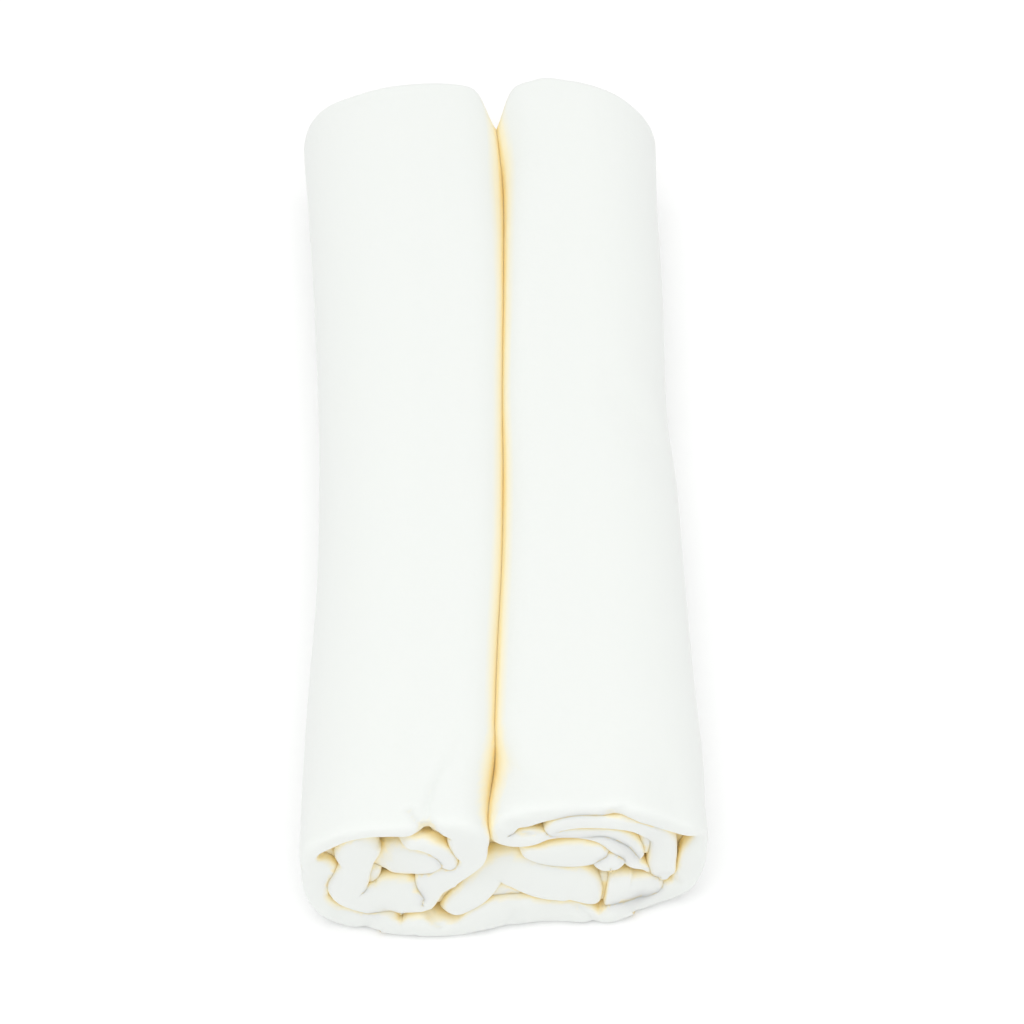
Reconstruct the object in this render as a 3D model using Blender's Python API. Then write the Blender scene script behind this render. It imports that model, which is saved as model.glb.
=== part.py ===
"""A turban cloth put away as a double roll.

The long cotton cloth is folded into a thick, narrow pad, and the pad is rolled
in from both of its ends until the two rolls meet. It is one piece of cloth, so
it is one solid. It lies along Y with its near end at -Y, and rests at z = 0.
"""

import math
from collections import namedtuple

import bmesh
import bpy

# Driving sizes, in metres.
ROLL_LENGTH = 0.2875  # a 1.15 m wide cloth folded in four
ROLL_WIDTH = 0.0595  # one roll, from the seam to its outer side
ROLL_HEIGHT = 0.0545
PAD_THICKNESS = 0.0062  # 32 plies of cotton voile
TURN_CLEARANCE = 0.0009  # air between one turn and the next
CORE_CLEARANCE = 0.0030  # air from the middle of a roll to its innermost turn
SEAM_CLEARANCE = 0.0012  # air between the two rolls where they meet
RIM_RADIUS = 0.0019  # the rounded folds along the edges of the pad
END_LEAN = 0.0080  # how far the top of the near end leans back
NEAR_CORNER = 0.0150  # the outer side of the near end, rounded in plan
FAR_CORNER = 0.0100
FAR_BULGE = 0.0030  # how far the middle of the far end stands out

# How square the section is in each quarter: 2 is an ellipse, more is boxier.
LOWER_OUTER = 2.5
UPPER_OUTER = 2.1
UPPER_SEAM = 2.9
LOWER_SEAM = 2.1

# Faces along the pad from the middle to one end, and across it. The faces get
# shorter towards the tight inner turns, and towards the two rims.
STEPS_ALONG = 54
STEPS_ACROSS = 14
SHORTER_INSIDE = 0.4
SHORTER_AT_RIMS = 0.075

# The share of a corner's radius that it cuts back at the very side of a roll.
CORNER_CUT = 0.8

# How the rolls change from the near end (0) to the far end (1). Widths and
# heights are shares of one roll's, and the seam's shift is a share of its width.
Station = namedtuple("Station", "at left right seam left_high right_high")
STATIONS = (
    Station(0.00, 0.90, 1.085, -0.095, 0.985, 0.970),
    Station(0.10, 0.925, 1.06, -0.067, 1.000, 0.985),
    Station(0.22, 0.94, 1.015, -0.024, 0.990, 0.985),
    Station(0.34, 0.95, 0.96, 0.020, 0.985, 0.980),
    Station(0.47, 0.96, 0.91, 0.055, 0.985, 0.965),
    Station(0.57, 0.98, 0.865, 0.079, 0.980, 0.960),
    Station(0.75, 1.03, 0.865, 0.097, 0.985, 0.970),
    Station(0.89, 1.07, 0.88, 0.097, 0.995, 0.985),
    Station(1.00, 1.065, 0.91, 0.080, 0.985, 0.980),
)

# Folds of the near end, where turns stand apart or crowd together. A fold sits
# at a turn of the winding, and moves it outwards by a share of the pad's
# thickness. Its spread is in turns.
Fold = namedtuple("Fold", "roll turn out spread")
FOLDS = (
    Fold("left", 1.29, -0.32, 0.08),
    Fold("left", 2.29, -0.32, 0.10),
    Fold("right", 1.32, -0.34, 0.08),
    Fold("right", 2.31, -0.34, 0.10),
)
FOLD_DEPTH = 0.040  # how far in from the near end the folds fade out

# How far the near rim stands back, as a share of the pad's thickness. A row's
# place is its turn of the winding, and the flat run under a roll is below zero.
Setback = namedtuple("Setback", "at left right")
SETBACKS = (
    Setback(-0.25, 0.70, 0.70),
    Setback(-0.05, 0.00, 0.80),
    Setback(0.12, 0.45, 0.85),
    Setback(0.40, 0.30, 0.80),
    Setback(0.75, 0.30, 1.20),
    Setback(1.05, 0.55, 1.10),
    Setback(1.50, 0.10, 0.90),
    Setback(1.95, 0.70, 1.40),
    Setback(2.80, 0.30, 1.10),
)

CLOTH_WHITE = (0.90, 0.90, 0.87, 1.0)

SIDES = {"left": -1, "right": 1}
PITCH = PAD_THICKNESS + TURN_CLEARANCE
# The winding starts at the bottom and draws in by one pitch a turn, so the top
# is half a pitch nearer to its middle than the bottom is, and so on round.
HALF_HIGH = (ROLL_HEIGHT - PAD_THICKNESS + PITCH / 2) / 2
DRAWN_IN = PITCH / HALF_HIGH
CORE = PAD_THICKNESS / 2 + CORE_CLEARANCE
TURNS = (HALF_HIGH - CORE) / PITCH
# The flat run under a roll counts as turns below zero.
FLAT_TURNS = 0.25


def eased(rows, at, name):
    """The named column of a table at this place, on one smooth curve through its rows."""
    places = [row.at for row in rows]
    values = [getattr(row, name) for row in rows]
    if at <= places[0]:
        return values[0]
    if at >= places[-1]:
        return values[-1]
    low = max(i for i, place in enumerate(places) if place <= at)

    def slope(i):
        before, after = max(i - 1, 0), min(i + 1, len(rows) - 1)
        return (values[after] - values[before]) / (places[after] - places[before])

    run = places[low + 1] - places[low]
    t = (at - places[low]) / run
    return (
        (2 * t**3 - 3 * t**2 + 1) * values[low]
        + (t**3 - 2 * t**2 + t) * run * slope(low)
        + (3 * t**2 - 2 * t**3) * values[low + 1]
        + (t**3 - t**2) * run * slope(low + 1)
    )


def folded_out(roll, turn, inwards):
    """How far the folds of the near end move the pad outwards here."""
    fade = max(0.0, 1 - inwards / FOLD_DEPTH)
    fade = fade * fade * (3 - 2 * fade)
    moved = 0.0
    for fold in FOLDS:
        if fold.roll == roll:
            moved += fold.out * math.exp(-(((turn - fold.turn) / fold.spread) ** 2))
    return moved * PAD_THICKNESS * fade


def square_reach(angle):
    """The section's reach at this angle, 1 at the bottom, sides and top."""
    across, up = math.sin(angle), -math.cos(angle)
    if across >= 0:
        power = UPPER_OUTER if up > 0 else LOWER_OUTER
    else:
        power = UPPER_SEAM if up > 0 else LOWER_SEAM
    return (abs(across) ** power + abs(up) ** power) ** (-1 / power)


def half_wide(share):
    """The winding's starting reach sideways, for a roll that is this share of the full width."""
    return (ROLL_WIDTH * share - PAD_THICKNESS) / (2 - DRAWN_IN)


def middle_line(wide):
    """How far a roll's middle line lies from the seam, so that its side just clears the other roll."""
    return SEAM_CLEARANCE / 2 + PAD_THICKNESS / 2 + wide * (1 - 0.75 * DRAWN_IN)


def middle_of_pad(roll, turn, at):
    """Where the middle of the pad's thickness runs: (x, z) at this turn and this share of the length."""
    side = SIDES[roll]
    wide = half_wide(eased(STATIONS, at, roll))
    high = HALF_HIGH + (eased(STATIONS, at, roll + "_high") - 1) * ROLL_HEIGHT / 2
    seam = eased(STATIONS, at, "seam") * ROLL_WIDTH
    centre = middle_line(wide)
    if turn < 0:
        # The flat run under the roll, from the seam to the roll's lowest line.
        return seam + side * centre * (1 + turn / FLAT_TURNS), PAD_THICKNESS / 2
    angle = 2 * math.pi * turn
    shrunk = 1 - turn * DRAWN_IN
    out = folded_out(roll, turn, at * ROLL_LENGTH)
    reach = square_reach(angle)
    x = (wide * shrunk + out) * reach * math.sin(angle)
    z = -(high * shrunk + out) * reach * math.cos(angle)
    return seam + side * (centre + x), PAD_THICKNESS / 2 + high + z


def wound_lengths():
    """The length along the pad at each of many small steps of turn, on a roll of the nominal size."""
    steps = 3000
    rows = [(-FLAT_TURNS, 0.0)]
    last = (0.0, 0.0)
    wide = half_wide(1.0)
    centre = middle_line(wide)
    for i in range(1, steps + 1):
        turn = -FLAT_TURNS + i * (TURNS + FLAT_TURNS) / steps
        if turn < 0:
            point = (centre * (1 + turn / FLAT_TURNS), 0.0)
        else:
            angle = 2 * math.pi * turn
            reach = square_reach(angle) * (1 - turn * DRAWN_IN)
            point = (
                centre + wide * reach * math.sin(angle),
                HALF_HIGH - HALF_HIGH * reach * math.cos(angle),
            )
        rows.append((turn, rows[-1][1] + math.dist(last, point)))
        last = point
    return rows


WOUND = wound_lengths()
HALF_PAD = WOUND[-1][1]


def turn_at(length):
    """The turn reached after this length along the pad from its middle."""
    low, high = 0, len(WOUND) - 1
    while high - low > 1:
        middle = (low + high) // 2
        if WOUND[middle][1] <= length:
            low = middle
        else:
            high = middle
    (t0, l0), (t1, l1) = WOUND[low], WOUND[high]
    return t0 + (t1 - t0) * (length - l0) / (l1 - l0)


def near_edge(roll, turn, x, z):
    """How far the near rim stands back from the front of the bundle."""
    back = eased(SETBACKS, turn, roll) * PAD_THICKNESS
    back += END_LEAN * z / ROLL_HEIGHT
    return back + corner(x, NEAR_CORNER)


def far_edge(x, z):
    """How far the far rim stands back."""
    off_middle = (z - ROLL_HEIGHT / 2) / (ROLL_HEIGHT / 2)
    return FAR_BULGE * off_middle**2 + corner(x, FAR_CORNER)


def corner(x, radius):
    """The setback of an end whose outer side is rounded in plan."""
    into = abs(x) - (ROLL_WIDTH - radius)
    if into <= 0:
        return 0.0
    into = min(into, radius)
    return (radius - math.sqrt(radius**2 - into**2)) * CORNER_CUT


def rolled(flat):
    """Where a point of the flat pad goes when the pad is rolled in from both ends."""
    roll = "left" if flat.x < 0 else "right"
    turn = turn_at(min(abs(flat.x), HALF_PAD))
    at = flat.y / ROLL_LENGTH + 0.5
    step = 1e-4
    x, z = middle_of_pad(roll, turn, at)
    before = middle_of_pad(roll, max(turn - step, -FLAT_TURNS), at)
    after = middle_of_pad(roll, turn + step, at)
    run = math.dist(before, after)
    along_x, along_z = (after[0] - before[0]) / run, (after[1] - before[1]) / run
    side = SIDES[roll]
    x -= flat.z * along_z * side
    z += flat.z * along_x * side
    near = -ROLL_LENGTH / 2 + near_edge(roll, turn, x, z)
    far = ROLL_LENGTH / 2 - far_edge(x, z)
    return x, near + (far - near) * at, z


def graded(share):
    """Spaces the faces along the pad: long on the flat run, short in the tight turns."""
    return (1 - SHORTER_INSIDE) * share + SHORTER_INSIDE * (1 - (1 - share) ** 2)


def graded_across(share):
    """Spaces the faces across the pad: short near its two ends."""
    return share - SHORTER_AT_RIMS * math.sin(2 * math.pi * share)


def flat_pad():
    """The folded cloth before it is rolled: a flat slab with rounded edges."""
    bm = bmesh.new()
    bmesh.ops.create_grid(bm, x_segments=2 * STEPS_ALONG, y_segments=STEPS_ACROSS, size=1.0)
    for vert in bm.verts:
        side = math.copysign(1.0, vert.co.x)
        vert.co.x = side * HALF_PAD * graded(abs(vert.co.x))
        across = graded_across((vert.co.y + 1) / 2)
        vert.co.y = ROLL_LENGTH * (across - 0.5)
    top = bmesh.ops.extrude_face_region(bm, geom=bm.faces[:])["geom"]
    lifted = [item for item in top if isinstance(item, bmesh.types.BMVert)]
    bmesh.ops.translate(bm, verts=lifted, vec=(0, 0, PAD_THICKNESS))
    bmesh.ops.translate(bm, verts=bm.verts[:], vec=(0, 0, -PAD_THICKNESS / 2))
    bmesh.ops.recalc_face_normals(bm, faces=bm.faces[:])
    bm.normal_update()
    rims = [edge for edge in bm.edges if edge.calc_face_angle(0.0) > math.radians(60)]
    bmesh.ops.bevel(
        bm, geom=rims, offset=RIM_RADIUS, segments=2, profile=0.5, affect="EDGES", material=-1
    )
    return bm


def cotton():
    """Undyed white cotton voile."""
    material = bpy.data.materials.new("white_cotton")
    material.use_nodes = True
    shader = material.node_tree.nodes["Principled BSDF"]
    shader.inputs["Base Color"].default_value = CLOTH_WHITE
    shader.inputs["Roughness"].default_value = 0.9
    shader.inputs["Metallic"].default_value = 0.0
    return material


def clear_scene():
    for obj in list(bpy.data.objects):
        bpy.data.objects.remove(obj, do_unlink=True)


def build():
    clear_scene()
    collection = bpy.data.collections.new("rolled_turban_cloth")
    bpy.context.scene.collection.children.link(collection)
    bm = flat_pad()
    for vert in bm.verts:
        vert.co = rolled(vert.co)
    # The two rolls differ in width, so the bundle is centred on the origin.
    left = min(vert.co.x for vert in bm.verts)
    right = max(vert.co.x for vert in bm.verts)
    near = min(vert.co.y for vert in bm.verts)
    far = max(vert.co.y for vert in bm.verts)
    bmesh.ops.translate(bm, verts=bm.verts[:], vec=(-(left + right) / 2, -(near + far) / 2, 0))
    bmesh.ops.recalc_face_normals(bm, faces=bm.faces[:])
    mesh = bpy.data.meshes.new("turban_cloth")
    bm.to_mesh(mesh)
    bm.free()
    mesh.shade_smooth()
    mesh.set_sharp_from_angle(angle=math.radians(50))
    mesh.materials.append(cotton())
    cloth = bpy.data.objects.new("turban_cloth", mesh)
    collection.objects.link(cloth)


build()
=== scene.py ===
"""The looks of the rolled turban cloth: one long white cotton cloth, folded to a
thick pad and rolled in from both of its ends, lying on a white table."""

import math
from collections import namedtuple

import bmesh
import bpy
import numpy as np
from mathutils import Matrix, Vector
from mathutils.bvhtree import BVHTree


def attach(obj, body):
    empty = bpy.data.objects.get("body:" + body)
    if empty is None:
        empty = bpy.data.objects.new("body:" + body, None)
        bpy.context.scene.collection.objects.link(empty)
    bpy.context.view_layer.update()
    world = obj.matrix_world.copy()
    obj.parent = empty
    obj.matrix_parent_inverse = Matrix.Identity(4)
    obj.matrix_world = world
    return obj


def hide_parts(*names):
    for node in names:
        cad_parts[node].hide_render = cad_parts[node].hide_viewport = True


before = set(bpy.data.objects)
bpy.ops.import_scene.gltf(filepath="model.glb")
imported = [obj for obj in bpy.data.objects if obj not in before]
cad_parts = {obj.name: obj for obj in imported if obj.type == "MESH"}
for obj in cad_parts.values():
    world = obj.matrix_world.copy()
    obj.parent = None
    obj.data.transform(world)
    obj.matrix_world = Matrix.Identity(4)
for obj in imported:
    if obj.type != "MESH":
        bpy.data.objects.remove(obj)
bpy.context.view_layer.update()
scene = bpy.context.scene


# Camera. It looks down on the near end of the rolls from a metre away and a little
# left of them, through a long lens, so that they narrow only slightly.
elevation, azimuth = math.radians(55), math.radians(-1.91)
distance = 1.0
looks_at = Vector((0.0061, -0.0109, 0.024))
towards_camera = Vector(
    (
        math.sin(azimuth) * math.cos(elevation),
        -math.cos(azimuth) * math.cos(elevation),
        math.sin(elevation),
    )
)
camera_data = bpy.data.cameras.new("camera")
camera_data.lens = 113.3
camera_data.sensor_width = 36
camera = bpy.data.objects.new("camera", camera_data)
scene.collection.objects.link(camera)
camera.location = looks_at + towards_camera * distance
camera.rotation_mode = "QUATERNION"
camera.rotation_quaternion = (-towards_camera).to_track_quat("-Z", "Y")
scene.camera = camera


# Light. A bright, nearly shadowless studio: white all round, one wide soft box
# above and a weak fill in front. Places are in metres.
scene.view_settings.view_transform = "Standard"
world = bpy.data.worlds.new("studio")
world.use_nodes = True
world.node_tree.nodes["Background"].inputs["Color"].default_value = (1, 1, 1, 1)
world.node_tree.nodes["Background"].inputs["Strength"].default_value = 0.78
scene.world = world
Lamp = namedtuple("Lamp", "name place looks_at size watts")
for lamp in (
    Lamp("soft_box", (-0.08, -0.25, 1.5), (0, 0, 0), 1.6, 10.0),
    Lamp("fill", (0.5, -1.3, 0.7), (0, -0.1, 0.02), 0.8, 0.5),
):
    light_data = bpy.data.lights.new(lamp.name, "AREA")
    light_data.size = lamp.size
    light_data.energy = lamp.watts
    light = bpy.data.objects.new(lamp.name, light_data)
    scene.collection.objects.link(light)
    light.location = lamp.place
    aim = Vector(lamp.looks_at) - light.location
    light.rotation_mode = "QUATERNION"
    light.rotation_quaternion = aim.to_track_quat("-Z", "Y")


# Table. The plain white surface that the cloth lies on, three metres each way from
# its middle. It is only a stage, and no part of the object.
table_reach = 3.0
bm = bmesh.new()
bmesh.ops.create_grid(bm, x_segments=1, y_segments=1, size=table_reach)
table_mesh = bpy.data.meshes.new("table")
bm.to_mesh(table_mesh)
bm.free()
table = bpy.data.objects.new("table", table_mesh)
scene.collection.objects.link(table)
white = bpy.data.materials.new("table_white")
white.use_nodes = True
shader = white.node_tree.nodes["Principled BSDF"]
shader.inputs["Base Color"].default_value = (1.0, 1.0, 1.0, 1)
shader.inputs["Roughness"].default_value = 0.8
shader.inputs["Specular IOR Level"].default_value = 0.1
table_mesh.materials.append(white)


# Turban cloth. One long white cotton voile, folded in four across and doubled to a
# soft pad of 32 plies, then rolled in from both ends until the rolls meet at a seam.
# Only its own folds hold it. All its lengths are in mm.
MM = 0.001
LENGTH = 287.5  # of the rolls: a quarter of the width of the cloth
WIDTH = 59.5  # of one roll
HEIGHT = 54.5
PAD = 6.2  # how thick the folded pad is
AIR = 0.9  # between one turn and the next
CORE = 3.0  # the radius left free in the middle of a roll
PRESSED = 0.5  # how far each roll presses past the seam
FLAT = 0.25  # the flat run under each roll, counted as turns below zero
SEAM_TURN = 0.75  # where a roll faces the seam, in turns
PITCH = PAD + AIR
HALF_HIGH = (HEIGHT - PAD + PITCH / 2) / 2
DRAWN_IN = PITCH / HALF_HIGH  # the share of its size that the winding loses in a turn
TURNS = (HALF_HIGH - PAD / 2 - CORE) / PITCH

# How square a roll's section is at each corner, as the power of its curve: 2 is an
# ellipse. The upper corner at the seam is in the stations, and inner turns get rounder.
SQUARE = {"lower_outer": 2.5, "upper_outer": 2.1, "lower_seam": 2.1}
ROUND = 2.2
ROUNDER_FROM, ROUNDER_OVER = 0.9, 1.4  # in turns

# The rolls from the near end (0) to the far end (1): widths and heights as shares
# of one roll's, the seam's shift as a share of its width, and how square the rolls
# are at the top of the seam.
Station = namedtuple("Station", "at left right seam left_high right_high boxy")
STATIONS = (
    Station(0.00, 0.922, 1.086, -0.082, 0.985, 0.970, 4.4),
    Station(0.10, 0.945, 1.043, -0.043, 1.000, 0.985, 5.2),
    Station(0.22, 0.952, 0.991, -0.007, 0.990, 0.985, 4.8),
    Station(0.34, 0.953, 0.943, 0.033, 0.985, 0.980, 4.8),
    Station(0.47, 0.962, 0.918, 0.056, 0.985, 0.965, 4.6),
    Station(0.57, 0.973, 0.885, 0.065, 0.980, 0.960, 5.2),
    Station(0.75, 1.033, 0.877, 0.099, 0.985, 0.970, 4.6),
    Station(0.89, 1.085, 0.863, 0.119, 0.995, 0.985, 3.2),
    Station(1.00, 1.079, 0.894, 0.095, 0.985, 0.980, 3.4),
)

# Where the pad runs on the near end: its middle line, how thick it puffs up there,
# and how far its rim stands back. A row's place is its turn of the winding.
Bend = namedtuple("Bend", "at x z thick back")
LEFT_END = (
    Bend(-0.25, 0.5, 7.4, 15.0, 0.8),
    Bend(-0.19, -6.0, 7.0, 13.5, -0.5),
    Bend(-0.13, -13.0, 3.6, 7.0, -1.4),
    Bend(-0.07, -20.0, 3.6, 7.0, -1.8),
    Bend(-0.02, -26.0, 4.7, 9.5, -1.6),
    Bend(0.02, -31.0, 3.4, 6.5, -1.0),
    Bend(0.05, -36.0, 5.6, 11.0, -0.2),
    Bend(0.085, -41.0, 4.8, 9.5, 1.2),
    Bend(0.12, -46.0, 5.6, 10.5, 2.2),
    Bend(0.16, -51.0, 8.0, 8.5, 3.2),
    Bend(0.20, -54.5, 15.0, 7.0, 4.0),
    Bend(0.23, -54.0, 22.5, 9.5, 4.2),
    Bend(0.265, -53.0, 30.5, 11.1, 4.0),
    Bend(0.30, -55.8, 36.5, 5.6, 4.0),
    Bend(0.335, -54.6, 41.8, 4.8, 4.0),
    Bend(0.38, -49.8, 46.5, 5.4, 4.2),
    Bend(0.43, -44.8, 50.0, 5.0, 4.2),
    Bend(0.48, -39.0, 51.8, 4.8, 4.2),
    Bend(0.53, -32.5, 52.0, 5.0, 4.2),
    Bend(0.57, -26.5, 51.4, 5.2, 4.6),
    Bend(0.60, -22.0, 50.0, 4.6, 7.4),
    Bend(0.63, -17.8, 50.9, 6.2, 5.2),
    Bend(0.66, -13.2, 49.6, 9.2, 4.2),
    Bend(0.70, -10.8, 45.3, 12.0, 3.8),
    Bend(0.75, -10.3, 40.5, 11.4, 3.4),
    Bend(0.80, -9.6, 35.0, 8.2, 3.0),
    Bend(0.84, -12.8, 30.0, 8.0, 2.8),
    Bend(0.88, -18.6, 26.2, 13.6, 2.4),
    Bend(0.915, -21.4, 21.4, 10.4, 2.0),
    Bend(0.945, -22.0, 16.6, 6.0, 1.6),
    Bend(0.97, -24.0, 13.6, 8.0, 1.2),
    Bend(1.00, -28.0, 15.6, 18.0, 1.2),
    Bend(1.03, -32.0, 16.0, 19.4, 1.6),
    Bend(1.07, -38.4, 15.6, 17.2, 1.8),
    Bend(1.11, -44.2, 17.8, 12.6, 2.0),
    Bend(1.15, -45.4, 22.8, 12.4, 2.2),
    Bend(1.19, -44.2, 27.8, 11.4, 2.5),
    Bend(1.24, -42.6, 32.6, 9.6, 3.0),
    Bend(1.30, -42.2, 38.6, 13.2, 3.6),
    Bend(1.34, -40.4, 44.2, 12.0, 4.2),
    Bend(1.37, -37.6, 47.2, 6.6, 6.5),
    Bend(1.39, -36.0, 47.5, 4.5, 10.0),
    Bend(1.45, -33.0, 47.0, 4.5, 15.0),
    Bend(1.50, -30.5, 46.5, 4.5, 9.0),
    Bend(1.55, -27.5, 45.6, 5.5, 4.2),
    Bend(1.60, -23.5, 44.2, 5.5, 3.8),
    Bend(1.66, -19.6, 41.4, 6.0, 3.6),
    Bend(1.72, -16.8, 37.0, 6.5, 3.3),
    Bend(1.78, -17.0, 32.8, 6.5, 3.2),
    Bend(1.85, -20.0, 31.0, 5.0, 6.0),
    Bend(1.93, -26.5, 31.5, 5.0, 9.0),
    Bend(2.02, -33.0, 30.0, 5.0, 10.0),
    Bend(2.12, -37.0, 28.0, 5.0, 10.0),
    Bend(2.22, -37.6, 28.6, 8.0, 8.0),
    Bend(2.34, -35.5, 30.5, 13.5, 6.6),
    Bend(2.46, -31.5, 32.0, 18.0, 5.6),
    Bend(2.58, -27.0, 34.0, 17.5, 4.2),
    Bend(2.70, -22.0, 34.8, 13.5, 3.2),
    Bend(2.80, -18.0, 34.5, 9.0, 3.0),
)
RIGHT_END = (
    Bend(-0.25, 0.5, 7.4, 15.0, 0.8),
    Bend(-0.20, 6.0, 7.0, 14.0, 1.2),
    Bend(-0.15, 12.0, 5.8, 11.5, 1.8),
    Bend(-0.10, 18.0, 5.6, 11.2, 1.6),
    Bend(-0.06, 22.5, 4.2, 8.4, 1.2),
    Bend(-0.02, 27.0, 2.6, 5.0, 1.2),
    Bend(0.02, 31.0, 3.8, 7.5, 1.2),
    Bend(0.06, 36.0, 7.0, 13.5, 3.0),
    Bend(0.10, 41.5, 6.6, 12.5, 5.0),
    Bend(0.14, 47.0, 6.6, 10.5, 7.0),
    Bend(0.18, 51.3, 10.0, 9.0, 7.4),
    Bend(0.23, 53.6, 17.0, 9.0, 8.6),
    Bend(0.28, 54.4, 25.0, 8.2, 9.2),
    Bend(0.33, 56.1, 32.5, 4.6, 11.4),
    Bend(0.37, 52.6, 39.2, 4.6, 8.6),
    Bend(0.41, 46.0, 43.5, 6.0, 8.8),
    Bend(0.45, 41.0, 47.2, 6.0, 8.6),
    Bend(0.485, 36.3, 49.6, 6.0, 8.8),
    Bend(0.515, 32.5, 50.6, 5.5, 9.8),
    Bend(0.55, 28.0, 50.8, 5.5, 9.6),
    Bend(0.60, 20.0, 50.3, 6.0, 9.6),
    Bend(0.64, 13.0, 50.4, 6.5, 9.2),
    Bend(0.68, 6.6, 49.8, 8.2, 8.2),
    Bend(0.72, 1.5, 47.9, 8.4, 7.4),
    Bend(0.76, -1.0, 43.6, 8.2, 6.8),
    Bend(0.80, 2.4, 41.0, 8.0, 6.6),
    Bend(0.85, 8.0, 41.0, 7.4, 6.8),
    Bend(0.90, 13.0, 41.0, 4.5, 8.0),
    Bend(0.95, 20.0, 40.0, 4.0, 8.6),
    Bend(1.00, 27.0, 39.0, 5.0, 7.6),
    Bend(1.05, 32.3, 34.5, 7.0, 6.8),
    Bend(1.09, 35.5, 28.5, 6.0, 6.5),
    Bend(1.12, 37.4, 24.5, 4.0, 6.6),
    Bend(1.15, 40.5, 20.5, 3.0, 8.0),
    Bend(1.18, 43.0, 16.8, 4.0, 8.5),
    Bend(1.21, 45.6, 15.8, 7.2, 7.4),
    Bend(1.25, 45.2, 22.0, 8.8, 7.6),
    Bend(1.31, 45.3, 29.0, 8.6, 8.2),
    Bend(1.37, 44.6, 35.8, 8.0, 8.6),
    Bend(1.42, 41.2, 40.3, 7.5, 8.5),
    Bend(1.47, 37.0, 43.8, 7.0, 8.4),
    Bend(1.52, 32.0, 45.8, 6.5, 8.2),
    Bend(1.57, 27.0, 47.0, 6.0, 8.0),
    Bend(1.63, 20.5, 47.3, 6.0, 8.0),
    Bend(1.70, 15.2, 46.0, 5.5, 7.8),
    Bend(1.76, 13.5, 43.3, 5.0, 7.8),
    Bend(1.83, 17.5, 42.0, 5.0, 8.0),
    Bend(1.92, 24.0, 41.5, 5.0, 8.0),
    Bend(2.02, 29.5, 40.8, 5.5, 8.0),
    Bend(2.15, 33.5, 37.5, 6.5, 7.6),
    Bend(2.35, 36.0, 32.0, 7.0, 7.4),
    Bend(2.80, 38.0, 26.5, 5.0, 7.6),
)
END_REACH = 36.0  # how far in from an end its puffed folds fade out
END_LEAN = 0.10  # how much a rim leans back for each mm of its thickness
RIM_REACH = 8.0  # how far in a thicker rim is also rounder
RIM_BLUNT, RIM_SQUARE = 0.6, 0.8  # powers of the rim's section: 1 is a half circle

# The neater far end: how much its turns puff up, wander and stand out unevenly, and
# how far its rim is bowed and stands back. A row's place is how far across it is.
FAR_PUFF = 0.24
WANDER, WANDER_FROM = 1.0, 0.5  # how far, and from which turn on
WANDER_UP = 0.7  # as a share of how far it wanders across
UNEVEN, UNEVEN_FROM = 1.5, 0.6
WAVE_ACROSS, WAVE_UP, WAVE_BACK = 9.1, 6.7, 7.3  # radians for each turn
WAVE_SIDE = 1.5  # radians that the two rolls are apart
FAR_BOWED = 3.0
Rim = namedtuple("Rim", "at back")
FAR_RIM = (
    Rim(-60.0, 6.0),
    Rim(-57.0, 3.0),
    Rim(-52.0, 1.3),
    Rim(-42.0, 0.9),
    Rim(-29.0, -0.9),
    Rim(-16.0, -2.2),
    Rim(-4.0, -2.3),
    Rim(16.0, -2.8),
    Rim(22.0, -3.6),
    Rim(30.0, -1.8),
    Rim(40.0, 0.9),
    Rim(47.0, 3.1),
    Rim(53.5, 5.8),
    Rim(60.0, 8.0),
)
# The dip of the far rim at the seam, which begins above the flat run.
NOTCH_AT, NOTCH_DEEP, NOTCH_WIDE, NOTCH_RISE = 5.3, 12.6, 4.0, 22.0

# Plies that part from the pad at the near end and bunch up there. The first ones
# lie between the rolls. A row's place runs from 0 to 1 along the ply.
FLOOR_PLY = (
    Bend(0.00, -19.0, 8.6, 3.0, 0.4),
    Bend(0.12, -14.9, 12.1, 8.0, 0.8),
    Bend(0.25, -9.4, 18.2, 11.0, 1.8),
    Bend(0.38, -3.8, 25.0, 12.5, 5.4),
    Bend(0.50, 3.0, 25.2, 15.5, 5.2),
    Bend(0.64, 11.0, 21.4, 16.6, 3.8),
    Bend(0.76, 17.6, 19.2, 16.0, 3.4),
    Bend(0.86, 22.2, 16.2, 13.0, 2.8),
    Bend(0.93, 24.8, 10.5, 7.5, 2.2),
    Bend(1.00, 25.4, 5.0, 5.0, 1.6),
)
VALLEY_PLY = (
    Bend(0.00, -15.0, 6.0, 3.0, 2.6),
    Bend(0.35, -8.0, 11.5, 9.0, 3.6),
    Bend(0.65, -2.0, 15.0, 11.0, 4.4),
    Bend(1.00, 6.0, 12.0, 4.0, 4.4),
)
LEAF_PLY = (
    Bend(0.00, 3.5, 35.5, 2.0, 6.5),
    Bend(0.25, 10.0, 32.5, 9.0, 6.0),
    Bend(0.50, 17.0, 31.6, 12.5, 5.8),
    Bend(0.75, 24.0, 31.8, 12.0, 6.0),
    Bend(1.00, 30.5, 34.5, 5.0, 6.5),
)
SMALL_PLY = (
    Bend(0.00, 26.0, 24.5, 5.0, 6.0),
    Bend(0.50, 30.0, 27.5, 10.5, 5.2),
    Bend(1.00, 34.0, 25.5, 6.0, 6.0),
)
STANDING_PLY = (
    Bend(0.00, 28.4, 13.2, 14.0, 3.8),
    Bend(0.30, 31.6, 12.8, 18.0, 3.2),
    Bend(0.60, 36.4, 11.6, 16.0, 3.8),
    Bend(1.00, 47.5, 12.5, 7.0, 7.6),
)
RIDGE_PLY = (
    Bend(0.00, -1.5, 24.0, 5.0, 10.0),
    Bend(0.50, -3.4, 33.0, 4.6, 12.5),
    Bend(1.00, -4.6, 38.0, 2.6, 15.0),
)
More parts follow.
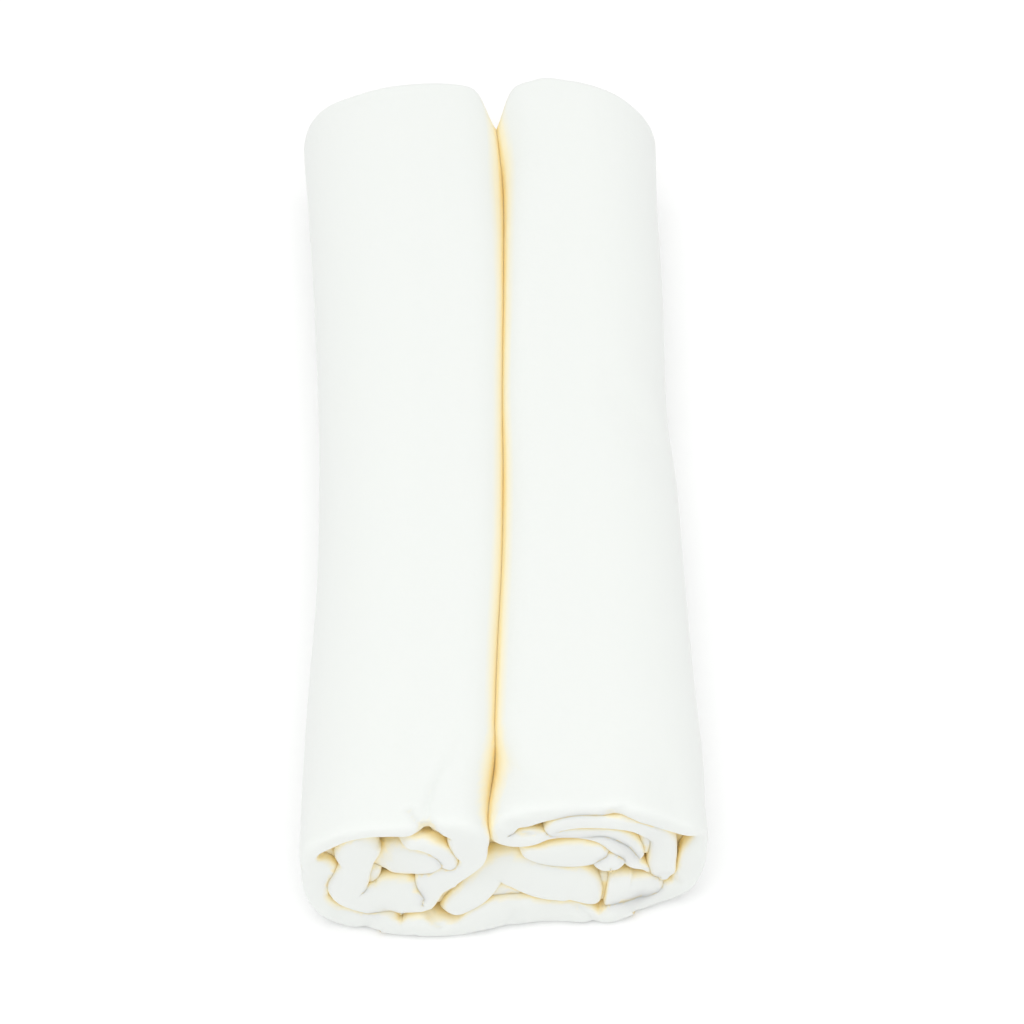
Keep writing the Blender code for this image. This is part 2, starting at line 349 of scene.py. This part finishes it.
# Short inner plies that show deep in the gaps between the turns.
DEEP_PLIES = (
    (
        Bend(0.0, -52.0, 41.0, 2.5, 8.5),
        Bend(0.5, -50.5, 36.0, 5.0, 8.0),
        Bend(1.0, -48.0, 29.0, 4.0, 7.0),
    ),
    (
        Bend(0.0, -23.5, 48.5, 2.5, 9.0),
        Bend(0.5, -19.5, 46.5, 5.0, 8.5),
        Bend(1.0, -15.0, 39.5, 4.0, 8.0),
    ),
    (
        Bend(0.0, -21.0, 9.5, 4.0, 4.6),
        Bend(0.5, -17.0, 15.5, 6.0, 4.6),
        Bend(1.0, -9.5, 25.0, 4.0, 5.4),
    ),
    (
        Bend(0.0, 21.0, 13.0, 8.0, 5.6),
        Bend(0.5, 28.0, 13.5, 15.0, 5.2),
        Bend(1.0, 35.0, 13.0, 8.0, 5.6),
    ),
    (
        Bend(0.0, 42.0, 43.0, 3.0, 9.8),
        Bend(0.5, 41.4, 36.0, 7.0, 9.6),
        Bend(1.0, 40.0, 25.0, 5.0, 9.4),
    ),
    (
        Bend(0.0, 49.0, 40.5, 5.0, 14.6),
        Bend(0.5, 50.0, 33.5, 8.0, 14.6),
        Bend(1.0, 48.6, 20.0, 6.0, 13.0),
    ),
    (
        Bend(0.0, -42.0, 17.0, 6.0, 4.8),
        Bend(0.5, -39.4, 24.0, 6.5, 5.0),
        Bend(1.0, -37.4, 31.0, 5.0, 6.0),
    ),
)

# Short creases of the near end. They run from one point to another as seen from
# above the end: across, and up, where what lies further back counts as higher.
BACK_AS_UP = 1.86
CREASES_TO, CREASES_FADE = 18.0, 10.0  # how far in they reach, and fade out
Crease = namedtuple("Crease", "x up to_x to_up deep wide")
CREASES = (
    Crease(-26.5, 74.0, -22.0, 63.5, 1.2, 1.8),
    Crease(1.4, 64.5, 5.4, 58.4, 0.5, 2.0),
    Crease(5.4, 58.4, 8.5, 58.0, 0.6, 1.4),
    Crease(33.5, 72.0, 29.8, 69.0, 0.45, 1.8),
    Crease(29.8, 69.0, 36.0, 64.8, 0.5, 1.8),
    Crease(-22.3, 12.0, -19.8, 3.6, 1.2, 1.4),
    Crease(-36.5, 16.5, -32.0, 10.5, 0.9, 2.0),
    Crease(-40.4, 9.0, -41.5, 1.0, 0.8, 2.0),
    Crease(3.4, 12.0, -0.3, 4.8, 0.5, 1.2),
    Crease(21.0, 14.0, 25.8, 4.0, 0.9, 1.5),
    Crease(47.0, 31.5, 50.0, 27.0, 0.9, 1.6),
)

# Shallow dents on top of the two rolls: across, and how far in from the near end.
DENTS_ABOVE, DENTS_FADE = 40.0, 12.0
Dent = namedtuple("Dent", "x deep_in to_x to_deep_in deep wide")
DENTS = (
    Dent(36.0, 160.0, 54.0, 134.0, 0.9, 4.0),
    Dent(40.0, 172.0, 56.0, 148.0, -0.5, 5.0),
    Dent(20.0, 197.0, 27.0, 190.0, 0.4, 6.0),
    Dent(-40.0, 226.0, -18.0, 214.0, 0.35, 8.0),
    Dent(-52.0, 120.0, -30.0, 96.0, 0.35, 9.0),
    Dent(28.0, 82.0, 50.0, 62.0, 0.35, 9.0),
    Dent(-30.0, 40.0, -22.0, 20.0, 0.5, 5.0),
    Dent(-45.0, 280.0, -16.0, 277.0, 0.35, 2.0),
)


def through(rows, at, name):
    """The named column of a table at these places, on one smooth curve through its rows."""
    places = np.array([row.at for row in rows])
    values = np.array([getattr(row, name) for row in rows])
    slopes = np.empty(len(rows))
    slopes[1:-1] = (values[2:] - values[:-2]) / (places[2:] - places[:-2])
    slopes[0] = (values[1] - values[0]) / (places[1] - places[0])
    slopes[-1] = (values[-1] - values[-2]) / (places[-1] - places[-2])
    low = np.clip(np.searchsorted(places, at, side="right") - 1, 0, len(rows) - 2)
    run = places[low + 1] - places[low]
    t = np.clip((at - places[low]) / run, 0, 1)
    return (
        (2 * t**3 - 3 * t**2 + 1) * values[low]
        + (t**3 - 2 * t**2 + t) * run * slopes[low]
        + (3 * t**2 - 2 * t**3) * values[low + 1]
        + (t**3 - t**2) * run * slopes[low + 1]
    )


def fade(share):
    """1 at 0, smoothly down to 0 at 1."""
    t = np.clip(1 - share, 0, 1)
    return t * t * (3 - 2 * t)


def reach(angle, boxy):
    """How far the section reaches at this angle: 1 at the bottom, sides and top."""
    across, up = np.sin(angle), -np.cos(angle)
    power = np.where(
        across >= 0,
        np.where(up > 0, SQUARE["upper_outer"], SQUARE["lower_outer"]),
        np.where(up > 0, boxy, SQUARE["lower_seam"]),
    )
    return (np.abs(across) ** power + np.abs(up) ** power) ** (-1 / power)


def wound(side, turn, at, centred):
    """The pad's middle line inside the rolls, in mm, at this turn and share of the length."""
    share = np.where(side < 0, through(STATIONS, at, "left"), through(STATIONS, at, "right"))
    tall = np.where(
        side < 0, through(STATIONS, at, "left_high"), through(STATIONS, at, "right_high")
    )
    wide = (WIDTH * share - PAD) / (2 - DRAWN_IN)
    high = HALF_HIGH + (tall - 1) * HEIGHT / 2
    middle = PAD / 2 - PRESSED + wide * (1 - SEAM_TURN * DRAWN_IN)
    angle = 2 * math.pi * np.maximum(turn, 0)
    rounder = fade((turn - ROUNDER_FROM) / ROUNDER_OVER)
    boxy = ROUND + (through(STATIONS, at, "boxy") - ROUND) * rounder
    size = reach(angle, boxy) * (1 - np.maximum(turn, 0) * DRAWN_IN)
    x = np.where(turn < 0, middle * (1 + turn / FLAT), middle + wide * size * np.sin(angle))
    z = np.where(turn < 0, 0, high - high * size * np.cos(angle))
    return through(STATIONS, at, "seam") * WIDTH + side * x - centred, PAD / 2 + z


def middle_line(side, turn, deep, centred):
    """The pad's middle line with the folds of the near end and the wander of the far one."""
    x, z = wound(side, turn, deep / LENGTH, centred)
    wander = WANDER * fade((LENGTH - deep) / END_REACH) * np.clip(turn - WANDER_FROM, 0, 1)
    x = x + wander * np.sin(WAVE_ACROSS * turn + side)
    z = z + wander * np.sin(WAVE_UP * turn - side) * WANDER_UP
    hold = fade(deep / END_REACH)
    end_x = np.where(side < 0, through(LEFT_END, turn, "x"), through(RIGHT_END, turn, "x"))
    end_z = np.where(side < 0, through(LEFT_END, turn, "z"), through(RIGHT_END, turn, "z"))
    return x + (end_x - x) * hold, z + (end_z - z) * hold


def section(rows_in, deepest, rim_steps, far_steps):
    """The closed section across the pad: how deep each point lies and its side, -1 to 1."""
    half = PAD / 2
    rim = []
    for a in np.linspace(-math.pi / 2, math.pi / 2, rim_steps + 1):
        blunt = half * (1 - math.cos(a) ** RIM_BLUNT)
        rim.append((blunt, math.copysign(abs(math.sin(a)) ** RIM_SQUARE, a)))
    over = np.linspace(math.pi / 2, -math.pi / 2, far_steps + 1)
    far = [(deepest - half * (1 - math.cos(a)), math.sin(a)) for a in over]
    upper = [(deep, 1.0) for deep in rows_in]
    lower = [(deep, -1.0) for deep in reversed(rows_in)]
    return np.array(rim + upper + far + lower)


def shell(columns, loop, place):
    """A closed shell: a grid whose two long edges are joined and whose ends are filled."""
    bm = bmesh.new()
    rows = len(loop)
    bmesh.ops.create_grid(bm, x_segments=columns, y_segments=rows, size=1.0)
    co = np.array([v.co for v in bm.verts])
    column = (co[:, 0] + 1) / 2
    row = np.rint((co[:, 1] + 1) / 2 * rows).astype(int) % rows
    points, layer = place(column, loop[row, 0], loop[row, 1])
    uv = bm.loops.layers.uv.new("cloth")
    flat = {}
    for i, vert in enumerate(bm.verts):
        vert.co = points[i]
        flat[vert] = layer[i]
    for face in bm.faces:
        for corner in face.loops:
            corner[uv].uv = flat[corner.vert]
    edge = [v for v in bm.verts if v.is_boundary]
    same_place = 1e-7
    bmesh.ops.remove_doubles(bm, verts=edge, dist=same_place)
    open_edges = [e for e in bm.edges if e.is_boundary]
    bmesh.ops.holes_fill(bm, edges=open_edges, sides=0)
    bmesh.ops.recalc_face_normals(bm, faces=bm.faces[:])
    return bm


# The length of the winding up to each turn, measured a little before the middle.
MEASURED_AT, MEASURED_STEPS = 0.4, 3000
steps = np.linspace(-FLAT, TURNS, MEASURED_STEPS)
same = np.ones(MEASURED_STEPS)
line_x, line_z = wound(same, steps, MEASURED_AT * same, 0.0)
wound_length = np.concatenate([[0], np.cumsum(np.hypot(np.diff(line_x), np.diff(line_z)))])
HALF_PAD = wound_length[-1]

# The bundle is centred on its widest places.
first_turn = np.linspace(0, 1, 200)
same = np.ones(len(first_turn))
ends = []
for way in (-1, 1):
    for at in np.linspace(0, 1, 60):
        line_x, _ = wound(way * same, first_turn, at * same, 0.0)
        ends.append((line_x + way * PAD / 2)[np.argmax(line_x * way)])
CENTRED = (min(ends) + max(ends)) / 2

# The columns of the mesh gather towards the two ends of the cloth, where it bends
# most, and its ends are rounded off.
CLOSER, CLOSER_POWER = 1.055, 17
TAIL_ROUND, TAIL_EDGE = 3.0, 0.06
NEARBY = 2e-3  # turns, to find which way the winding runs


def roll_up(column, deep, face):
    """Places the points of the rolled pad. Column runs from one end of the cloth to the other."""
    even = column * 2 - 1
    s = (CLOSER * even - (CLOSER - 1) * even**CLOSER_POWER) * HALF_PAD
    side = np.where(s < 0, -1.0, 1.0)
    turn = np.interp(np.abs(s), wound_length, steps)
    x, z = middle_line(side, turn, deep, CENTRED)
    before = middle_line(side, np.maximum(turn - NEARBY, -FLAT), deep, CENTRED)
    after = middle_line(side, np.minimum(turn + NEARBY, TURNS), deep, CENTRED)
    along_x, along_z = after[0] - before[0], after[1] - before[1]
    run = np.hypot(along_x, along_z)
    puffed = np.where(
        side < 0, through(LEFT_END, turn, "thick"), through(RIGHT_END, turn, "thick")
    )
    puff = 1 + (puffed / PAD - 1) * fade(deep / END_REACH)
    puff = puff + FAR_PUFF * fade((LENGTH - deep) / END_REACH)
    from_tail = np.clip((HALF_PAD - np.abs(s)) / TAIL_ROUND, 0, 1)
    tail = TAIL_EDGE + (1 - TAIL_EDGE) * np.sqrt(1 - (1 - from_tail) ** 2)
    half = PAD / 2 * puff * tail
    px = x - face * half * along_z / run * side
    pz = z + face * half * along_x / run * side
    rim = np.where(side < 0, through(LEFT_END, turn, "back"), through(RIGHT_END, turn, "back"))
    rim = rim + END_LEAN * (pz - z)
    plump = deep * (1 + (np.sqrt(puff) - 1) * fade(deep / RIM_REACH))
    off_middle = (pz - HEIGHT / 2) / (HEIGHT / 2)
    far = FAR_BOWED * off_middle**2 + through(FAR_RIM, px, "back")
    notch = NOTCH_DEEP * np.exp(-(((px - NOTCH_AT) / NOTCH_WIDE) ** 2))
    far = far + notch * np.clip((pz - PAD) / NOTCH_RISE, 0, 1)
    uneven = UNEVEN * np.sin(WAVE_BACK * turn + WAVE_SIDE * side)
    far = far + uneven * np.clip(turn - UNEVEN_FROM, 0, 1)
    py = -LENGTH / 2 + rim + (LENGTH - rim - far) * plump / LENGTH
    pz = np.maximum(pz, 0)  # the table keeps the underside flat
    return np.stack([px, py, pz], axis=1) * MM, np.stack([s, deep], axis=1) * MM


def rows_to(limits):
    """Row places in from the rim, from pairs of how far and how far apart."""
    rows, at = [], PAD / 2
    for end, gap in limits:
        count = max(1, round((end - at) / gap))
        rows += [at + (end - at) * (i + 1) / count for i in range(count)]
        at = end
    return rows[:-1]


PAD_COLUMNS = 660
pad_rows = rows_to([(16, 1.1), (42, 2.9), (262, 8.0), (280, 4.0), (LENGTH - PAD / 2, 2.0)])
bm = shell(PAD_COLUMNS, section(pad_rows, LENGTH, 12, 8), roll_up)
mesh = bpy.data.meshes.new("turban_cloth_soft")
bm.to_mesh(mesh)
bm.free()

# The plies that part from the pad: how many columns each has, how much its rim leans
# back and how deep it goes in. Its two edges are rounded and stand back, and further
# in it gets thinner and sinks.
Loose = namedtuple("Loose", "rows columns lean deep")
LONG_PLY, SHORT_PLY = 30.0, 12.0
LOOSE_PLIES = [
    Loose(FLOOR_PLY, 60, 0.32, LONG_PLY),
    Loose(VALLEY_PLY, 24, 0.2, LONG_PLY),
    Loose(LEAF_PLY, 36, END_LEAN, LONG_PLY),
    Loose(SMALL_PLY, 20, END_LEAN, LONG_PLY),
    Loose(STANDING_PLY, 30, END_LEAN, LONG_PLY),
    Loose(RIDGE_PLY, 24, END_LEAN, LONG_PLY),
]
LOOSE_PLIES += [Loose(rows, 12, END_LEAN, SHORT_PLY) for rows in DEEP_PLIES]
PLY_NEARBY = 0.01
PLY_EDGE, PLY_EDGE_THICK, PLY_EDGE_BACK = 0.12, 0.15, 4.0
PLY_THINS, PLY_SINKS = 0.75, 0.12
PLY_CLOTH = 40  # mm of cloth along a ply, for its fibres


def ply(loose):
    """Places the points of a ply that parts from the pad at the near end."""
    rows = loose.rows

    def place(column, deep, face):
        at = column
        x, z = through(rows, at, "x"), through(rows, at, "z")
        ahead, behind = np.minimum(at + PLY_NEARBY, 1), np.maximum(at - PLY_NEARBY, 0)
        along_x = through(rows, ahead, "x") - through(rows, behind, "x")
        along_z = through(rows, ahead, "z") - through(rows, behind, "z")
        run = np.hypot(along_x, along_z)
        from_edge = np.clip(np.minimum(at, 1 - at) / PLY_EDGE, 0, 1)
        edge = PLY_EDGE_THICK + (1 - PLY_EDGE_THICK) * np.sqrt(1 - (1 - from_edge) ** 2)
        half = through(rows, at, "thick") / 2 * edge
        half = half * (1 - PLY_THINS * (deep / loose.deep) ** 2)
        px = x - face * half * along_z / run
        pz = z + face * half * along_x / run - PLY_SINKS * deep
        plump = deep * (1 + (np.sqrt(2 * half / PAD) - 1) * fade(deep / RIM_REACH))
        py = -LENGTH / 2 + through(rows, at, "back") + loose.lean * (pz - z) + plump
        py = py + PLY_EDGE_BACK * (1 - from_edge) ** 2
        flat = np.stack([column * PLY_CLOTH, deep], axis=1)
        return np.stack([px, py, pz], axis=1) * MM, flat * MM

    return place


for loose in LOOSE_PLIES:
    last_row = loose.deep - PAD / 2
    inward = rows_to([(min(SHORT_PLY, last_row), 1.2), (last_row, 3.0)])
    bm = shell(loose.columns, section(inward, loose.deep, 10, 4), ply(loose))
    bm.from_mesh(mesh)
    bm.to_mesh(mesh)
    bm.free()

mesh.shade_smooth()
mesh.update()


def read_points(name):
    """One row of three numbers for each point of the cloth."""
    values = np.empty(len(mesh.vertices) * 3)
    mesh.vertices.foreach_get(name, values)
    return values.reshape(-1, 3)


def pressed_in(across, along, start, end, wide):
    """How much of a crease or dent each point gets: 1 on its line, and less beside it."""
    run_across, run_along = end[0] - start[0], end[1] - start[1]
    from_across, from_along = across - start[0], along - start[1]
    share = (from_across * run_across + from_along * run_along) / (run_across**2 + run_along**2)
    inside = np.clip(share, 0, 1)
    off = np.hypot(from_across - inside * run_across, from_along - inside * run_along)
    return np.exp(-((off / wide) ** 2))


co, normal = read_points("co"), read_points("normal")
across = co[:, 0] / MM
in_from_end = co[:, 1] / MM + LENGTH / 2
high = co[:, 2] / MM
seen_up = high + BACK_AS_UP * in_from_end
pushed = np.zeros(len(co))
for crease in CREASES:
    start, end = (crease.x, crease.up), (crease.to_x, crease.to_up)
    near_end = fade((in_from_end - CREASES_TO) / CREASES_FADE)
    pushed += crease.deep * pressed_in(across, seen_up, start, end, crease.wide) * near_end
for dent in DENTS:
    start, end = (dent.x, dent.deep_in), (dent.to_x, dent.to_deep_in)
    on_top = fade((DENTS_ABOVE - high) / DENTS_FADE)
    pushed += dent.deep * pressed_in(across, in_from_end, start, end, dent.wide) * on_top
co -= normal * (pushed * MM)[:, None]
mesh.vertices.foreach_set("co", co.ravel())
mesh.update()
cloth = bpy.data.objects.new("turban_cloth_soft", mesh)
scene.collection.objects.link(cloth)

# How deep in a fold each point lies, from what a few rays out of it hit close by.
# The material paints shade from it into the colour: warmer, cream to amber, the deeper the point
# lies in a fold.
RAYS = 12
RAY_REACH = 16.0
FAR_HIT = 0.6  # how much less a hit at full reach counts
LIFTED = 0.15  # off the surface, where a ray starts
normal = read_points("normal")
mesh.calc_loop_triangles()
tree = BVHTree.FromPolygons(
    [v.co for v in mesh.vertices], [tuple(t.vertices) for t in mesh.loop_triangles]
)
upright = np.abs(normal[:, 2:3]) > 0.9
helper = np.where(upright, [[1.0, 0.0, 0.0]], [[0.0, 0.0, 1.0]])
tangent = np.cross(helper, normal)
tangent /= np.linalg.norm(tangent, axis=1)[:, None]
other = np.cross(normal, tangent)
fold_shade_amount = np.zeros(len(co))
starts = co + normal * LIFTED * MM
golden = math.pi * (3 - math.sqrt(5))
for i in range(RAYS):
    out_share = math.sqrt((i + 0.5) / RAYS)
    side_share = math.sqrt(1 - out_share**2)
    way = tangent * (side_share * math.cos(golden * i))
    way += other * (side_share * math.sin(golden * i))
    way += normal * out_share
    for point, start in enumerate(starts):
        hit = tree.ray_cast(start, way[point], RAY_REACH * MM)[3]
        if hit is not None:
            fold_shade_amount[point] += 1 - hit / (RAY_REACH * MM) * FAR_HIT
fold_shade_amount /= RAYS
mesh.attributes.new("fold_shade", "FLOAT", "POINT").data.foreach_set("value", fold_shade_amount)

# White cotton voile: matt, a little soft to the light, with a fine fibre relief. It
# is a cool white in the open; painted shade turns it cream in a fold and amber at the bottom of a
# deep one.
IN_THE_OPEN = (0.825, 0.848, 0.822, 1)
CREAM_FOLD_SHADE = (0.92, 0.87, 0.68, 1)
AMBER_DEEP_FOLD_SHADE = (0.98, 0.80, 0.42, 1)
cotton = bpy.data.materials.new("white_cotton")
cotton.use_nodes = True
nodes, links = cotton.node_tree.nodes, cotton.node_tree.links
shader = nodes["Principled BSDF"]
shader.inputs["Roughness"].default_value = 0.9
shader.inputs["Subsurface Weight"].default_value = 0.5
shader.inputs["Subsurface Radius"].default_value = (1.0, 1.0, 1.0)
shader.inputs["Subsurface Scale"].default_value = 0.0025
shader.inputs["Specular IOR Level"].default_value = 0.15
shader.inputs["Sheen Weight"].default_value = 0.08
shader.inputs["Sheen Roughness"].default_value = 0.6
cloth_map = nodes.new("ShaderNodeUVMap")
cloth_map.uv_map = "cloth"
fibres = nodes.new("ShaderNodeTexNoise")
fibres.inputs["Scale"].default_value = 700.0
fibres.inputs["Detail"].default_value = 3.0
bump = nodes.new("ShaderNodeBump")
bump.inputs["Strength"].default_value = 0.12
bump.inputs["Distance"].default_value = 0.0004
links.new(cloth_map.outputs["UV"], fibres.inputs["Vector"])
links.new(fibres.outputs["Fac"], bump.inputs["Height"])
links.new(bump.outputs["Normal"], shader.inputs["Normal"])
fold_shade_reader = nodes.new("ShaderNodeAttribute")
fold_shade_reader.attribute_name = "fold_shade"
# The ramp paints shade into the base colour: cream where the cloth lies in a fold, amber deep in
# one.
fold_shade_ramp = nodes.new("ShaderNodeValToRGB")
fold_shade_ramp.color_ramp.elements[0].position = 0.08
fold_shade_ramp.color_ramp.elements[0].color = IN_THE_OPEN
fold_shade_ramp.color_ramp.elements[1].position = 0.75
fold_shade_ramp.color_ramp.elements[1].color = AMBER_DEEP_FOLD_SHADE
fold_shade_ramp.color_ramp.elements.new(0.33).color = CREAM_FOLD_SHADE
links.new(fold_shade_reader.outputs["Fac"], fold_shade_ramp.inputs["Fac"])
links.new(fold_shade_ramp.outputs["Color"], shader.inputs["Base Color"])
mesh.materials.append(cotton)

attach(cloth, "root")
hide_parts("turban_cloth")
